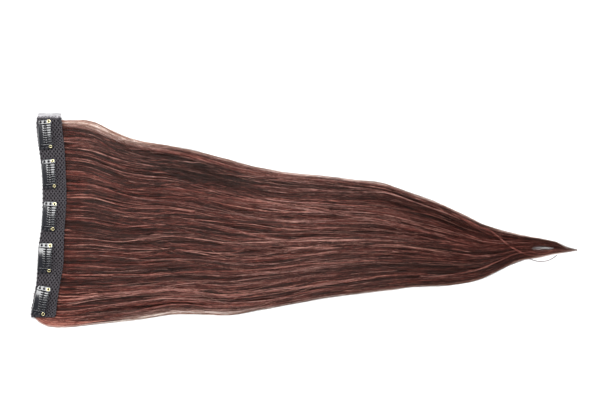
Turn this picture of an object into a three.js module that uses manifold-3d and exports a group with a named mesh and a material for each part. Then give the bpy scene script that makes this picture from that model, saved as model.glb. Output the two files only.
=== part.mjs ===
// A clip-in hair extension lying on a table, clip side up: a net band with five snap clips along its
// back edge, and a long fall of straight hair that is sewn under the band and tapers to one wisp.
// Sizes are in millimetres. +X runs from the band to the tip of the hair, +Y runs along the band and
// +Z is up. The origin is on the table, under the middle of the band.
import * as THREE from "three";
import { mergeVertices } from "three/addons/utils/BufferGeometryUtils.js";
import Module from "manifold-3d";

const wasm = await Module();
wasm.setup();

// The net band
const BAND_LENGTH = 208;
const BAND_WIDTH = 26;
const BAND_WALL = 1.2;
const BAND_LIP = 2.2; // how far the band's back edge is turned down over the sewn hair
const FLAP_LENGTH = 4.5; // loose net past the band's upper end

// The hair
const HAIR_REACH = 544; // from the middle of the band to the tip
const HAIR_DEPTH = 9; // at its thickest
const MAT_DEPTH = 3; // hair sewn flat under the band
const HAIR_EDGE = 1; // thickness along the two sides of the fall
const LOCK_RELIEF = 2.6; // height of a lock over the groove beside it
const LOCK_COUNT = 13;
const GRIDS_PER_LOCK = 4;

// A snap clip: two spring steel stampings riveted together at both ends
const CLIP_LENGTH = 31;
const CLIP_BACK = 12.2; // from the line of the rivets to the back edge
const CLIP_FRONT = 2.8; // from the line of the rivets to the front edge
const CLIP_ARCH = 2.4; // rise of the middle over the two ends
const STEEL = 0.5;
const RIM_WIDTH = 2.6;
const STRIP_WIDTH = 1.4; // front bar, inside the sleeve
const BACK_CORNER = 4;
const TAB_LENGTH = 5.1; // riveted end of the clip
const SEW_HOLE_RADIUS = 0.75;
const SEW_HOLE_PLACES = [0.35, 0.72]; // shares of the way from a rivet to the back edge

// The comb of the clip
const COMB_STEP_BACK = 0.7; // the rim shows this much behind the comb
const TOOTH_PITCH = 2.5;
const TOOTH_ROOT_WIDTH = 1.6;
const TOOTH_TIP_WIDTH = 1.2;
const TOOTH_LENGTH = 8.8;
const TOOTH_OVERHANG = 2.5; // tip past the line of the rivets

// The silicone sleeve on the front bar
const SLEEVE_RADIUS = 1.4;

// The hollow brass rivets
const RIVET_HEAD_RADIUS = 1.6;
const RIVET_HEAD = 0.45;
const RIVET_FOOT_RADIUS = 1.2;
const RIVET_FOOT = 0.25;
const RIVET_BARREL_RADIUS = 0.85;
const RIVET_BORE_RADIUS = 0.45;

const GAP = 0.3; // between pieces that touch
const BAND_STEPS = 40; // straight steps along the band
const ARC_STEPS = 5; // straight steps in a rounded corner
const ROUND_SIDES = 10;

// The band, from its upper end to its lower end. along is a share of its length, and shift and width
// are shares of its width.
const bandSections = [
  { along: 0, shift: -0.17, width: 0.96 },
  { along: 0.015, shift: -0.17, width: 1.02 },
  { along: 0.055, shift: -0.16, width: 1.05 },
  { along: 0.165, shift: -0.06, width: 1.04 },
  { along: 0.265, shift: 0.01, width: 0.98 },
  { along: 0.415, shift: 0.045, width: 0.97 },
  { along: 0.54, shift: -0.01, width: 0.95 },
  { along: 0.64, shift: -0.08, width: 1.02 },
  { along: 0.74, shift: -0.12, width: 1.05 },
  { along: 0.84, shift: -0.22, width: 0.97 },
  { along: 0.93, shift: -0.34, width: 1 },
  { along: 0.985, shift: -0.4, width: 1.02 },
  { along: 1, shift: -0.42, width: 0.96 },
];

// Where the clips sit. along is a share of the band's length; inset is the distance from the band's
// back edge to the clip; turn is how far the clip is turned from the band's own direction, in radians.
const clipPlaces = [
  { along: 0.086, inset: 1.65, turn: -0.04 },
  { along: 0.283, inset: 0.7, turn: 0.02 },
  { along: 0.497, inset: 0.65, turn: 0 },
  { along: 0.704, inset: 0.7, turn: 0 },
  { along: 0.9215, inset: 1.9, turn: -0.05 },
];

// The fall of hair past the band. reach is a share of HAIR_REACH; upper and lower are its two sides as
// shares of the band's length; depth is a share of HAIR_DEPTH; bend is the share of the band's own
// curve that the section still has, and relief the share of the full height of the locks.
const fallSections = [
  { reach: 0.05, upper: 0.479, lower: -0.548, depth: 0.62, bend: 0.8, relief: 0.45 },
  { reach: 0.079, upper: 0.462, lower: -0.538, depth: 0.74, bend: 0.6, relief: 0.7 },
  { reach: 0.107, upper: 0.427, lower: -0.528, depth: 0.82, bend: 0.45, relief: 0.85 },
  { reach: 0.136, upper: 0.396, lower: -0.519, depth: 0.88, bend: 0.3, relief: 1 },
  { reach: 0.178, upper: 0.369, lower: -0.503, depth: 0.94, bend: 0.15, relief: 1 },
  { reach: 0.222, upper: 0.353, lower: -0.484, depth: 0.97, bend: 0, relief: 1 },
  { reach: 0.279, upper: 0.32, lower: -0.483, depth: 1, bend: 0, relief: 1 },
  { reach: 0.336, upper: 0.28, lower: -0.487, depth: 1, bend: 0, relief: 1 },
  { reach: 0.393, upper: 0.243, lower: -0.463, depth: 1, bend: 0, relief: 1 },
  { reach: 0.45, upper: 0.218, lower: -0.436, depth: 1, bend: 0, relief: 1 },
  { reach: 0.509, upper: 0.203, lower: -0.406, depth: 1, bend: 0, relief: 1 },
  { reach: 0.566, upper: 0.185, lower: -0.385, depth: 0.98, bend: 0, relief: 1 },
  { reach: 0.623, upper: 0.168, lower: -0.365, depth: 0.95, bend: 0, relief: 1 },
  { reach: 0.653, upper: 0.146, lower: -0.357, depth: 0.93, bend: 0, relief: 1 },
  { reach: 0.68, upper: 0.118, lower: -0.348, depth: 0.91, bend: 0, relief: 1 },
  { reach: 0.737, upper: 0.065, lower: -0.34, depth: 0.87, bend: 0, relief: 1 },
  { reach: 0.796, upper: -0.008, lower: -0.322, depth: 0.8, bend: 0, relief: 0.95 },
  { reach: 0.824, upper: -0.043, lower: -0.3, depth: 0.74, bend: 0, relief: 0.85 },
  { reach: 0.853, upper: -0.068, lower: -0.263, depth: 0.66, bend: 0, relief: 0.7 },
  { reach: 0.881, upper: -0.085, lower: -0.223, depth: 0.56, bend: 0, relief: 0.5 },
  { reach: 0.92, upper: -0.103, lower: -0.203, depth: 0.43, bend: 0, relief: 0.35 },
  { reach: 0.956, upper: -0.122, lower: -0.184, depth: 0.32, bend: 0, relief: 0.2 },
  { reach: 0.98, upper: -0.144, lower: -0.171, depth: 0.22, bend: 0, relief: 0.1 },
  { reach: 1, upper: -0.158, lower: -0.165, depth: 0.14, bend: 0, relief: 0 },
];

// Hair sewn flat under the band, from the band's back edge (across 0) to its front edge (across 1).
// upper and lower are its two sides as shares of the band's length.
const matSections = [
  { across: 0, upper: 0.4825, lower: -0.4925 },
  { across: 0.5, upper: 0.4875, lower: -0.5375 },
  { across: 1, upper: 0.4825, lower: -0.55 },
];

// The loose net past the band's upper end. out is a share of FLAP_LENGTH, and sink is how far it
// hangs towards the table, as a share of the height of the turned-down edge.
const flapSections = [
  { out: 1, sink: 0.75 },
  { out: 0.5, sink: 0.3 },
];

// Heights of the locks side by side, as shares of LOCK_RELIEF, from the lower side to the upper one.
const lockHeights = [0.7, 0.95, 0.6, 1, 0.8, 0.55, 0.9, 0.7, 1, 0.65, 0.85, 0.95, 0.6];

const BAND_FLOOR = MAT_DEPTH + GAP;
const BAND_TOP = BAND_FLOOR + BAND_WALL;
const HALF_CLIP = CLIP_LENGTH / 2;
const RIVET_PLACE = HALF_CLIP - CLIP_FRONT;
const TAB_INNER = HALF_CLIP - TAB_LENGTH;
const COMB_HALF = TAB_INNER - GAP;
const COMB_BACK = COMB_STEP_BACK - CLIP_BACK;
const LOWER_SHEET = GAP;
const UPPER_SHEET = LOWER_SHEET + STEEL + GAP;
const SLEEVE_MIDDLE = LOWER_SHEET + STEEL / 2;
const TOOTH_CREST = SLEEVE_MIDDLE + SLEEVE_RADIUS + GAP;

const finishes = {
  hair: new THREE.MeshStandardMaterial({ color: 0x5a322a, roughness: 0.5 }),
  net: new THREE.MeshStandardMaterial({ color: 0x37343a, roughness: 0.85 }),
  steel: new THREE.MeshStandardMaterial({ color: 0x16181d, roughness: 0.28, metalness: 0.3 }),
  silicone: new THREE.MeshStandardMaterial({ color: 0x22242a, roughness: 0.4 }),
  brass: new THREE.MeshStandardMaterial({ color: 0xd8c27a, roughness: 0.3, metalness: 1 }),
};

// A smooth value between a table's rows: a cubic with the slope of each row's neighbours.
function between(rows, key, column, at) {
  const last = rows.length - 1;
  const row = Math.min(Math.max(rows.findIndex((r) => r[key] >= at) - 1, 0), last - 1);
  const from = rows[row];
  const to = rows[row + 1];
  const span = to[key] - from[key];
  const slope = (i) => {
    const before = rows[Math.max(i - 1, 0)];
    const after = rows[Math.min(i + 1, last)];
    return (after[column] - before[column]) / (after[key] - before[key]);
  };
  const t = THREE.MathUtils.clamp((at - from[key]) / span, 0, 1);
  const cube = t * t * t;
  const square = t * t;
  return (
    (2 * cube - 3 * square + 1) * from[column] +
    (cube - 2 * square + t) * span * slope(row) +
    (3 * square - 2 * cube) * to[column] +
    (cube - square) * span * slope(row + 1)
  );
}

// The band's middle line: where it is at a height y, and how wide the band is there.
function bandAt(y) {
  const along = THREE.MathUtils.clamp(0.5 - y / BAND_LENGTH, 0, 1);
  return {
    middle: BAND_WIDTH * between(bandSections, "along", "shift", along),
    half: (BAND_WIDTH / 2) * between(bandSections, "along", "width", along),
  };
}

// A closed solid through rings that all have the same number of points. endFaces lists the triangles
// of an end, turned the way the ring runs.
function loft(rings, endFaces) {
  const count = rings[0].length;
  const positions = rings.flat().flatMap((p) => [p.x, p.y, p.z]);
  const index = [];
  for (let ring = 0; ring < rings.length - 1; ring++) {
    for (let i = 0; i < count; i++) {
      const a = ring * count + i;
      const b = ring * count + ((i + 1) % count);
      index.push(a, b, b + count, a, b + count, a + count);
    }
  }
  [0, rings.length - 1].forEach((ring) => {
    endFaces(rings[ring]).forEach((corners) => {
      const face = corners.map((i) => ring * count + i);
      index.push(...(ring === 0 ? face.reverse() : face));
    });
  });
  const geometry = new THREE.BufferGeometry();
  geometry.setAttribute("position", new THREE.Float32BufferAttribute(positions, 3));
  geometry.setIndex(index);
  return facingOut(geometry);
}

// An end that is flat across the y axis.
function flatEnd(ring) {
  const outline = ring.map((p) => new THREE.Vector2(p.x, p.z));
  const faces = THREE.ShapeUtils.triangulateShape(outline, []);
  return THREE.ShapeUtils.isClockWise(outline) ? faces.map((face) => [...face].reverse()) : faces;
}

// The same geometry with its faces turned round if they point inwards.
function facingOut(geometry) {
  const place = geometry.getAttribute("position");
  const corner = (i) => new THREE.Vector3().fromBufferAttribute(place, geometry.index.getX(i));
  let volume = 0;
  for (let i = 0; i < geometry.index.count; i += 3) {
    volume += corner(i).dot(corner(i + 1).cross(corner(i + 2)));
  }
  if (volume < 0) geometry.setIndex([...geometry.index.array].reverse());
  return geometry;
}

function toSolid(geometry) {
  const bare = new THREE.BufferGeometry();
  bare.setAttribute("position", geometry.getAttribute("position"));
  if (geometry.index) bare.setIndex(geometry.index);
  const merged = mergeVertices(bare, 1e-4);
  return new wasm.Manifold(
    new wasm.Mesh({
      numProp: 3,
      vertProperties: merged.getAttribute("position").array,
      triVerts: new Uint32Array(merged.index.array),
    }),
  );
}

function toGeometry(solid) {
  const mesh = solid.getMesh();
  const geometry = new THREE.BufferGeometry();
  geometry.setAttribute("position", new THREE.BufferAttribute(mesh.vertProperties, 3));
  geometry.setIndex(new THREE.BufferAttribute(mesh.triVerts, 1));
  return geometry;
}

function named(name, geometry, material) {
  const mesh = new THREE.Mesh(geometry, material);
  mesh.name = name;
  return mesh;
}

// An upright prism on an outline in the clip's plane, tall enough to cut through every sheet.
function cutter(shape) {
  const depth = 4 * (CLIP_ARCH + SLEEVE_RADIUS + STEEL);
  const prism = new THREE.ExtrudeGeometry(shape, {
    depth,
    bevelEnabled: false,
    curveSegments: ARC_STEPS,
  });
  return toSolid(prism.translate(0, 0, -depth / 2));
}

// Hair: a flat mat sewn under the band, then locks side by side that narrow towards the tip
function lockLift(across) {
  const lock = Math.min(Math.floor(across * LOCK_COUNT), LOCK_COUNT - 1);
  const height = lockHeights[lock % lockHeights.length];
  return height * Math.sin(Math.PI * (across * LOCK_COUNT - lock)) ** 0.7;
}

// One section of hair. xAt gives its place over the table at a height y.
function hairSection(lower, upper, depth, relief, xAt) {
  const steps = LOCK_COUNT * GRIDS_PER_LOCK;
  const top = [];
  for (let i = 0; i <= steps; i++) {
    const across = i / steps;
    const y = THREE.MathUtils.lerp(lower, upper, across);
    const crown = Math.sqrt(Math.max(0, 1 - Math.abs(2 * across - 1) ** 4));
    const lift = relief * LOCK_RELIEF * (lockLift(across) - 1);
    const z = Math.max(HAIR_EDGE, HAIR_EDGE + (depth - HAIR_EDGE + lift) * crown);
    top.push(new THREE.Vector3(xAt(y), y, Math.min(z, depth)));
  }
  const bottom = [];
  for (let i = LOCK_COUNT; i >= 0; i--) {
    const y = THREE.MathUtils.lerp(lower, upper, i / LOCK_COUNT);
    bottom.push(new THREE.Vector3(xAt(y), y, 0));
  }
  return [...top, ...bottom];
}

// An end of the hair: a fan for each lock, between its point underneath and its points on top.
function hairEnd(ring) {
  const faces = [];
  for (let lock = 0; lock < LOCK_COUNT; lock++) {
    const low = ring.length - 1 - lock;
    const first = lock * GRIDS_PER_LOCK;
    for (let i = 0; i < GRIDS_PER_LOCK; i++) faces.push([low, first + i, first + i + 1]);
    faces.push([low, first + GRIDS_PER_LOCK, low - 1]);
  }
  return faces;
}

function makeHair() {
  const back = (y) => bandAt(y).middle - bandAt(y).half + BAND_WALL + GAP;
  const front = (y) => bandAt(y).middle + bandAt(y).half + GAP;
  const rings = matSections.map(({ across, upper, lower }) =>
    hairSection(lower * BAND_LENGTH, upper * BAND_LENGTH, MAT_DEPTH, 0, (y) =>
      THREE.MathUtils.lerp(back(y), front(y), across),
    ),
  );
  fallSections.forEach((section) => {
    const lean = section.bend * BAND_WIDTH;
    const middle = between(bandSections, "along", "shift", 0.5);
    const start = section.reach * HAIR_REACH;
    const xAt = (y) => {
      const along = THREE.MathUtils.clamp(0.5 - y / BAND_LENGTH, 0, 1);
      return start + lean * (between(bandSections, "along", "shift", along) - middle);
    };
    rings.push(
      hairSection(
        section.lower * BAND_LENGTH,
        section.upper * BAND_LENGTH,
        section.depth * HAIR_DEPTH,
        section.relief * section.depth,
        xAt,
      ),
    );
  });
  return named("hair", loft(rings, hairEnd), finishes.hair);
}

// Net band: a flat strip whose back edge is turned down over the sewn hair
function bandSection(y, middle, half, lift) {
  const left = middle - half;
  const right = middle + half;
  const soft = BAND_WALL / 2;
  const corners = [
    [left, BAND_TOP - BAND_LIP],
    [left + BAND_WALL, BAND_TOP - BAND_LIP],
    [left + BAND_WALL, BAND_FLOOR],
    [right, BAND_FLOOR],
    [right, BAND_TOP - soft / 2],
    [right - soft / 2, BAND_TOP],
    [left + soft, BAND_TOP],
    [left, BAND_TOP - soft],
  ];
  return corners.map(([x, z]) => new THREE.Vector3(x, y, z + lift));
}

function makeBand() {
  const start = bandSections[0];
  const rings = flapSections.map(({ out, sink }) =>
    bandSection(
      BAND_LENGTH / 2 + out * FLAP_LENGTH,
      BAND_WIDTH * start.shift,
      (BAND_WIDTH / 2) * start.width,
      -sink * (BAND_TOP - BAND_LIP),
    ),
  );
  for (let i = 0; i <= BAND_STEPS; i++) {
    const y = BAND_LENGTH * (0.5 - i / BAND_STEPS);
    const { middle, half } = bandAt(y);
    rings.push(bandSection(y, middle, half, 0));
  }
  return named("net_band", loft(rings, flatEnd), finishes.net);
}

// Snap clips. In a clip's own frame the rivets are on the line x = 0, the teeth point along +X, and
// the band's surface is at z = 0.
const archLines = [-HALF_CLIP, -TAB_INNER];
const toothCount = Math.floor((2 * COMB_HALF) / TOOTH_PITCH);
for (let i = 1; i < toothCount; i++) archLines.push((i - toothCount / 2) * TOOTH_PITCH);
archLines.push(TAB_INNER, HALF_CLIP);

// Height of the arch over its ends, straight from one fold line to the next.
function archAt(y) {
  const rise = (at) => CLIP_ARCH * (1 - (at / HALF_CLIP) ** 2);
  const next = Math.max(1, archLines.findIndex((line) => line >= y));
  const from = archLines[next - 1];
  const to = archLines[next];
  return THREE.MathUtils.lerp(rise(from), rise(to), (y - from) / (to - from));
}

// A bent sheet over the clip's arch. profile lists points of its underside as [x, z].
function archedSheet(profile, thickness, lines) {
  const top = [...profile].reverse().map(([x, z]) => [x, z + thickness]);
  const rings = lines.map((y) =>
    [...profile, ...top].map(([x, z]) => new THREE.Vector3(x, y, z + archAt(y))),
  );
  return toSolid(loft(rings, flatEnd));
}

// The riveted end of a clip, seen from above. side is 1 for the upper end and -1 for the lower one.
function tabOutline(side) {
  const shape = new THREE.Shape();
  const corner = Math.min(BACK_CORNER, TAB_LENGTH - GAP);
  shape.moveTo(-CLIP_BACK, TAB_INNER);
  shape.lineTo(-CLIP_BACK, HALF_CLIP - corner);
  shape.absarc(corner - CLIP_BACK, HALF_CLIP - corner, corner, Math.PI, Math.PI / 2, true);
  shape.lineTo(0, HALF_CLIP);
  shape.absarc(0, RIVET_PLACE, CLIP_FRONT, Math.PI / 2, 0, true);
  shape.lineTo(CLIP_FRONT, TAB_INNER);
  const points = shape.getPoints(ARC_STEPS).map((p) => new THREE.Vector2(p.x, side * p.y));
  return new THREE.Shape(points);
}

function barOutline(fromX, toX) {
  const reach = TAB_INNER + GAP;
  return new THREE.Shape([
    new THREE.Vector2(fromX, -reach),
    new THREE.Vector2(toX, -reach),
    new THREE.Vector2(toX, reach),
    new THREE.Vector2(fromX, reach),
  ]);
}

function sewHole(x, y) {
  const shape = new THREE.Shape();
  shape.absarc(x, y, SEW_HOLE_RADIUS, 0, 2 * Math.PI);
  return cutter(shape);
}

// Where a rivet goes through the clip's end: square to the sheet that it holds.
function placeRivet(object, side) {
  const slope = (archAt(HALF_CLIP) - archAt(TAB_INNER)) / TAB_LENGTH;
  object.position.set(0, side * RIVET_PLACE, LOWER_SHEET + archAt(side * RIVET_PLACE));
  object.rotation.x = side * Math.atan(slope);
  return object;
}

function makeFrame() {
  const wide = [
    [-CLIP_BACK, LOWER_SHEET],
    [CLIP_FRONT, LOWER_SHEET],
  ];
  const bars = cutter(barOutline(-CLIP_BACK, RIM_WIDTH - CLIP_BACK)).add(
    cutter(barOutline(-STRIP_WIDTH / 2, STRIP_WIDTH / 2)),
  );
  const thick = UPPER_SHEET + STEEL - LOWER_SHEET;
  let frame = archedSheet(wide, STEEL, archLines).intersect(bars);
  [1, -1].forEach((side) => {
    const tab = archedSheet(wide, thick, archLines).intersect(cutter(tabOutline(side)));
    const hole = new THREE.CylinderGeometry(
      RIVET_BARREL_RADIUS + GAP,
      RIVET_BARREL_RADIUS + GAP,
      8 * thick,
      ROUND_SIDES,
    );
    hole.rotateX(Math.PI / 2);
    const place = placeRivet(new THREE.Object3D(), side);
    place.updateMatrix();
    frame = frame.add(tab).subtract(toSolid(hole.applyMatrix4(place.matrix)));
    const sewing = RIVET_PLACE + SEW_HOLE_RADIUS;
    SEW_HOLE_PLACES.forEach((share) => {
      frame = frame.subtract(sewHole(-share * CLIP_BACK, side * sewing));
    });
  });
  return toGeometry(frame);
}

// Underside of the comb: flat over the rim, a shallow dip, then a hump over the sleeve.
function combProfile() {
  const root = TOOTH_OVERHANG - TOOTH_LENGTH;
  return [
    [COMB_BACK, UPPER_SHEET],
    [root, UPPER_SHEET],
    [root + 0.25 * TOOTH_LENGTH, UPPER_SHEET],
    [-0.75 * SLEEVE_RADIUS, TOOTH_CREST - 0.15 * SLEEVE_RADIUS],
    [0.5 * SLEEVE_RADIUS, TOOTH_CREST],
    [TOOTH_OVERHANG, UPPER_SHEET + STEEL],
  ];
}

function combOutline() {
  const root = TOOTH_OVERHANG - TOOTH_LENGTH;
  const tip = TOOTH_TIP_WIDTH / 2;
  const shape = new THREE.Shape();
  shape.moveTo(COMB_BACK, -COMB_HALF);
  shape.lineTo(root, -COMB_HALF);
  for (let i = 0; i < toothCount; i++) {
    const y = (i + 0.5 - toothCount / 2) * TOOTH_PITCH;
    shape.lineTo(root, y - TOOTH_ROOT_WIDTH / 2);
    shape.lineTo(TOOTH_OVERHANG - tip, y - tip);
    shape.lineTo(TOOTH_OVERHANG, y);
    shape.lineTo(TOOTH_OVERHANG - tip, y + tip);
    shape.lineTo(root, y + TOOTH_ROOT_WIDTH / 2);
  }
  shape.lineTo(root, COMB_HALF);
  shape.lineTo(COMB_BACK, COMB_HALF);
  return shape;
}

function makeComb() {
  return toGeometry(archedSheet(combProfile(), STEEL, archLines).intersect(cutter(combOutline())));
}

// A soft tube over the front bar, with a slot through it that the bar fills.
function makeSleeve() {
  const reach = TAB_INNER - GAP;
  const lines = [-1, -0.5, 0, 0.5, 1].map((share) => share * reach);
  const ring = (points, y) =>
    points.map(([x, z]) => new THREE.Vector3(x, y, z + SLEEVE_MIDDLE + archAt(y)));
  const round = [...Array(ROUND_SIDES).keys()].map((i) => {
    const turn = (2 * Math.PI * (i + 0.5)) / ROUND_SIDES;
    return [SLEEVE_RADIUS * Math.cos(turn), SLEEVE_RADIUS * Math.sin(turn)];
  });
  const wide = STRIP_WIDTH / 2 + GAP;
  const high = STEEL / 2 + GAP;
  const slot = [
    [-wide, -high],
    [wide, -high],
    [wide, high],
    [-wide, high],
  ];
  const outer = toSolid(loft(lines.map((y) => ring(round, y)), flatEnd));
  const through = [-reach - GAP, ...lines.slice(1, -1), reach + GAP];
  const inner = toSolid(loft(through.map((y) => ring(slot, y)), flatEnd));
  return toGeometry(outer.subtract(inner));
}

// A hollow rivet about its own axis, with a head over the sheet and a smaller one under it.
function makeRivet() {
  const top = UPPER_SHEET + STEEL - LOWER_SHEET + GAP;
  const outline = [
    [RIVET_BORE_RADIUS, -GAP - RIVET_FOOT],
    [RIVET_FOOT_RADIUS, -GAP - RIVET_FOOT],
    [RIVET_FOOT_RADIUS, -GAP],
    [RIVET_BARREL_RADIUS, -GAP],
    [RIVET_BARREL_RADIUS, top],
    [RIVET_HEAD_RADIUS, top],
    [(RIVET_HEAD_RADIUS + RIVET_BORE_RADIUS) / 2, top + RIVET_HEAD],
    [RIVET_BORE_RADIUS, top + 0.4 * RIVET_HEAD],
    [RIVET_BORE_RADIUS, -GAP - RIVET_FOOT],
  ];
  const points = outline.map(([r, z]) => new THREE.Vector2(r, z));
  return new THREE.LatheGeometry(points, ROUND_SIDES).rotateX(Math.PI / 2);
}

function makeClip(number, { along, inset, turn }) {
  const y = BAND_LENGTH * (0.5 - along);
  const { middle, half } = bandAt(y);
  const step = BAND_WIDTH / 4;
  const lean = Math.atan2(bandAt(y - step).middle - bandAt(y + step).middle, 2 * step);
  const clip = new THREE.Group();
  clip.position.set(middle - half + inset + CLIP_BACK, y, BAND_TOP);
  clip.rotation.z = lean + turn;
  const rivet = makeRivet();
  clip.add(
    named(`clip_${number}_frame`, makeFrame(), finishes.steel),
    named(`clip_${number}_comb`, makeComb(), finishes.steel),
    named(`clip_${number}_sleeve`, makeSleeve(), finishes.silicone),
    placeRivet(named(`clip_${number}_rivet_upper`, rivet, finishes.brass), 1),
    placeRivet(named(`clip_${number}_rivet_lower`, rivet, finishes.brass), -1),
  );
  return clip;
}

const extension = new THREE.Group();
extension.add(makeHair(), makeBand());
clipPlaces.forEach((place, i) => extension.add(makeClip(i + 1, place)));

export default extension;
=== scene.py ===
"""A clip-in hair extension lying on a white table, seen from straight above.

Metres, in the model's own frame: +X runs from the net band to the tip of the hair, +Y along the band,
+Z up from the table. Every shape is worked out as whole numpy arrays from the sizes and the short
tables below.
"""

import math

import bpy
import numpy as np
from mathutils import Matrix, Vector


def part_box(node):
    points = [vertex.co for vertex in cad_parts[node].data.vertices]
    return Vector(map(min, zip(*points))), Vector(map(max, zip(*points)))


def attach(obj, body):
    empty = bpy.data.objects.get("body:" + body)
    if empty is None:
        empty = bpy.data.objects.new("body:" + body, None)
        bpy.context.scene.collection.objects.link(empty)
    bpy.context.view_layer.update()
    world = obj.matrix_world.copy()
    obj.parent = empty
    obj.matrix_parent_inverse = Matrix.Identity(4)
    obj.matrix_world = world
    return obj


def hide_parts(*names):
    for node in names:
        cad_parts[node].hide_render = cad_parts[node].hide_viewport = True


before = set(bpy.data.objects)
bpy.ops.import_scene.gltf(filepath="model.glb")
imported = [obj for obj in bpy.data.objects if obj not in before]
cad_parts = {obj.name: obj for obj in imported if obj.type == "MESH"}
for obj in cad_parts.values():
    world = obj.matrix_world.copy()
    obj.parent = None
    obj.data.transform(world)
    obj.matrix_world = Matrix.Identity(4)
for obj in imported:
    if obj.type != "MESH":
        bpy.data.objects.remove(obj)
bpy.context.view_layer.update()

MM = 0.001

# Sizes that the model gives
HAIR_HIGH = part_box("hair")[1]
BAND_LOW, BAND_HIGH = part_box("net_band")
HAIR_REACH = HAIR_HIGH.x
HAIR_DEPTH = HAIR_HIGH.z
BAND_TOP = BAND_HIGH.z
BAND_LENGTH = -2 * BAND_LOW.y
FLAP_END = BAND_HIGH.y

# Net band
BAND_WIDTH = 26 * MM
CLOTH_WALL = 0.7 * MM
LIP_DEPTH = 2.2 * MM
MESH_WIDE = 3.5 * MM  # from hole to hole across the band
MESH_LONG = 4.7 * MM  # from hole to hole along it
YARN = 0.27 * MM
YARN_SWING = 0.5 * MM  # how far a cord's yarns lie from its middle
YARN_LIFT = 0.18 * MM
YARN_TURN = 3.6 * MM
TULLE_PITCH = 0.8 * MM

# Hair
MAT_DEPTH = 3 * MM
HAIR_EDGE = 1 * MM
FIBRE = 0.19 * MM  # half the width of a drawn fibre, which stands for a few real ones
FLYAWAY = 0.1 * MM
CLUMP = 0.55 * MM  # half the width of the clumps that fibres cling together in
TIP_GAP = 0.46  # where the tip parts into two wisps, as a share across it
TIP_HOLE = (0.911, 0.931, 0.938, 0.957)  # reach where its hole starts, is full, closes and ends
STRANDS_APART = 0.24  # how far the hole pushes strands aside, as a share of the tip's width
CORE_APART = 0.4
CORE_TAPER = 0.9  # reach where the inside of the fall starts to thin out, and where it ends
CORE_END = 0.975
CORE_HEIGHT = 0.55  # top of the inside, as a share of the hair's height

# Snap clips, in a frame of their own: rivets on x = 0, teeth towards +X, band at z = 0
CLIP_HALF = 15.5 * MM
CLIP_BACK = 12.2 * MM
CLIP_FRONT = 2.8 * MM
CLIP_ARCH = 2.4 * MM
STEEL = 0.5 * MM
RIM_WIDTH = 2.6 * MM
TAB_LENGTH = 5.1 * MM
GAP = 0.3 * MM
TOOTH_COUNT = 8
TOOTH_PITCH = 2.5 * MM
TOOTH_WIDTH = 1.95 * MM
TOOTH_LENGTH = 8.8 * MM
TOOTH_OVERHANG = 2.5 * MM
COMB_STEP_BACK = 0.7 * MM
SLEEVE_RADIUS = 1.4 * MM
SEWING_THREAD = 0.14 * MM
SEWING_HOLES = (-8.8 * MM, -4.3 * MM)
HOLE_HALF = 0.9 * MM  # of the sewing holes and of the rivet's
BAR_HALF = 1.4 * MM
BACK_CORNER = 2.2 * MM  # how far the corners of the two ends are drawn in
FRONT_CORNER = 1.7 * MM

# The photograph's frame
PHOTO_WIDE = 600
PHOTO_HIGH = 400
PIXEL = 1.04 * MM
MIDDLE_OF_BAND = (54, 217)  # the origin's place in the photograph
STRAYS = (  # pixels where each stray hair starts, what it bends towards, and where it ends
    ((516, 250), (540, 270), (557, 255)),
    ((556, 246), (568, 252.5), (577, 249.6)),
)


def table(columns, rows):
    """A short table as one array for each named column."""
    return dict(zip(columns, np.array(rows, float).T))


# along is a share of the band's length from its upper end, shift and width are shares of its width
BAND = table(("along", "shift", "width"), [
    (0, -0.17, 0.96),
    (0.015, -0.17, 1.02),
    (0.055, -0.16, 1.05),
    (0.165, -0.06, 1.04),
    (0.265, 0.01, 0.98),
    (0.415, 0.045, 0.97),
    (0.54, -0.01, 0.95),
    (0.64, -0.08, 1.02),
    (0.74, -0.12, 1.05),
    (0.84, -0.22, 0.97),
    (0.93, -0.34, 1),
    (0.985, -0.4, 1.02),
    (1, -0.42, 0.96),
])

# along is a share of the band's length, inset is the distance from its back edge in millimetres, turn
# is how far the clip is turned from the band's own direction, and roll is how steeply it rises to its
# back edge, where the band lifts it
CLIPS = table(("along", "inset", "turn", "roll"), [
    (0.086, 1.65, -0.04, 0),
    (0.283, 0.7, 0.02, 0),
    (0.497, 0.65, 0, 0),
    (0.704, 0.7, 0, 0.075),
    (0.9215, 1.9, -0.05, 0.06),
])

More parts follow.
